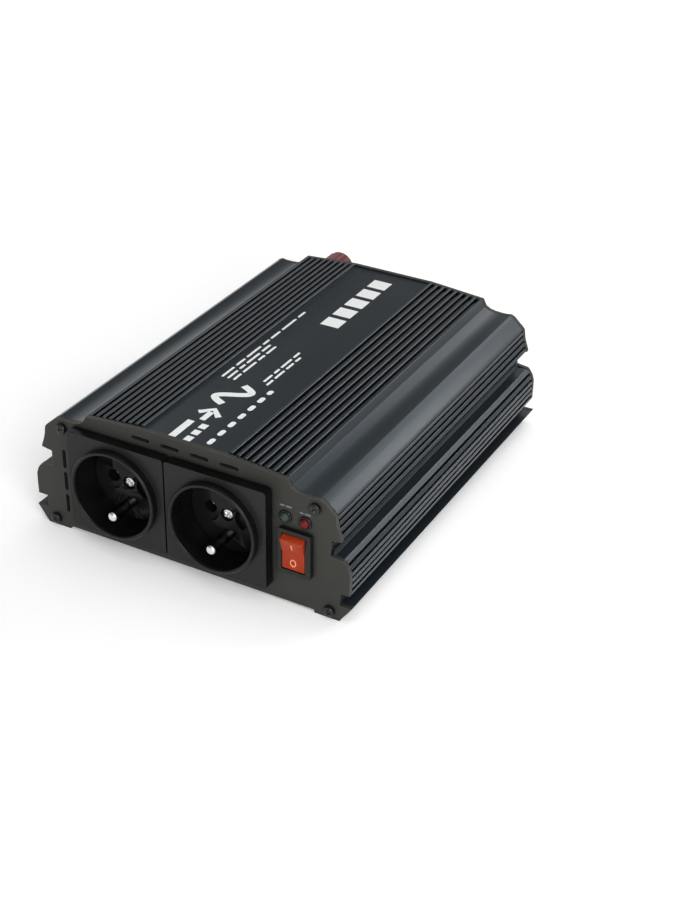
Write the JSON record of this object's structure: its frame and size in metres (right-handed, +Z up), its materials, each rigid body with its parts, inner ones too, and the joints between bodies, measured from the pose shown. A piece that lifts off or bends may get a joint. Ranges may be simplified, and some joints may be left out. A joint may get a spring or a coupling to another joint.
{
  "type": "power inverter",
  "caption": "Finned metal box that turns battery current into mains current: round pin-earth sockets, rocker switch and lamps in front, fan and screw terminals behind.",
  "frame": {"origin": "middle of the whole object's bounding box, at the underside of the feet", "axes": "+X to the right as seen from the front, +Y from the sockets towards the battery terminals, +Z up"},
  "size_m": [0.1602, 0.2292, 0.0645],
  "materials": {
    "case": "charcoal anodised extrusion, satin",
    "plate": "dark grey powder coat, fine texture",
    "screw": "black zinc, semi-gloss",
    "socket": "black moulded plastic, satin",
    "socket_floor": "black moulded plastic, satin",
    "nickel": "nickel plated, bright",
    "brass": "plain brass",
    "bezel": "black moulded plastic, semi-gloss",
    "rocker": "translucent red-orange, gloss",
    "green_lens": "clear greenish lens",
    "red_lens": "red lens",
    "fan": "black moulded plastic",
    "wire": "bright plated wire",
    "red_plastic": "dark red moulded plastic",
    "black_plastic": "black moulded plastic",
    "board": "green solder mask",
    "ferrite": "dark grey ferrite",
    "winding": "copper wire under yellow tape",
    "capacitor": "sleeved can",
    "bar": "plain steel bar"
  },
  "bodies": {
    "root": {"case_upper": "case", "case_lower": "case", "front_plate": "plate", "rear_plate": "plate", "front_screw_1": "screw", "rear_screw_1": "screw", "fan_screw_1": "screw", "front_screw_2": "screw", "rear_screw_2": "screw", "fan_screw_2": "screw", "front_screw_3": "screw", "rear_screw_3": "screw", "fan_screw_3": "screw", "front_screw_4": "screw", "rear_screw_4": "screw", "fan_screw_4": "screw", "socket_left_housing": "socket", "socket_left_insert": "socket_floor", "socket_left_earth_pin": "nickel", "socket_left_screw": "nickel", "socket_left_contact_1": "brass", "socket_left_contact_2": "brass", "socket_right_housing": "socket", "socket_right_insert": "socket_floor", "socket_right_earth_pin": "nickel", "socket_right_screw": "nickel", "socket_right_contact_1": "brass", "socket_right_contact_2": "brass", "switch_housing": "bezel", "lamp_green": "green_lens", "lamp_red": "red_lens", "fan_frame": "fan", "fan_guard": "wire", "terminal_red_bush": "red_plastic", "terminal_red_stud": "brass", "terminal_black_bush": "black_plastic", "terminal_black_stud": "brass", "circuit_board": "board", "transformer_1_core": "ferrite", "transformer_2_core": "ferrite", "transformer_1_winding": "winding", "transformer_2_winding": "winding", "choke": "winding", "output_capacitor_1": "capacitor", "output_capacitor_2": "capacitor", "input_capacitor_1": "capacitor", "input_capacitor_2": "capacitor", "input_capacitor_3": "capacitor", "clamp_bar_left": "bar", "clamp_bar_right": "bar"},
    "rocker": {"switch_rocker": "rocker"},
    "fan_rotor": {"fan_rotor": "fan"},
    "red_washer": {"terminal_red_washer": "nickel"},
    "red_knob": {"terminal_red_knob": "red_plastic"},
    "black_washer": {"terminal_black_washer": "nickel"},
    "black_knob": {"terminal_black_knob": "black_plastic"}
  },
  "joints": [
    {"name": "rocker_tilt", "type": "hinge", "parent": "root", "child": "rocker", "pos_m": [0.0537, -0.10487, 0.028], "axis": [1, 0, 0], "range_deg": [-18, 0]},
    {"name": "fan_spin", "type": "hinge", "parent": "root", "child": "fan_rotor", "pos_m": [0.02, 0.07673, 0.031], "axis": [0, 1, 0], "continuous": true},
    {"name": "red_washer_slide", "type": "slide", "parent": "root", "child": "red_washer", "axis": [0, 1, 0], "range_m": [0, 0.0061]},
    {"name": "red_knob_turn", "type": "hinge", "parent": "red_washer", "child": "red_knob", "pos_m": [-0.045, 0.09972, 0.0466], "axis": [0, 1, 0], "range_deg": [0, 2160]},
    {"name": "black_washer_slide", "type": "slide", "parent": "root", "child": "black_washer", "axis": [0, 1, 0], "range_m": [0, 0.0061]},
    {"name": "black_knob_turn", "type": "hinge", "parent": "black_washer", "child": "black_knob", "pos_m": [-0.045, 0.09972, 0.0226], "axis": [0, 1, 0], "range_deg": [0, 2160]}
  ],
  "couplings": [
    {"joint": "red_washer_slide", "follows": "red_knob_turn", "m_per_rad": 0.00015915},
    {"joint": "black_washer_slide", "follows": "black_knob_turn", "m_per_rad": 0.00015915}
  ]
}
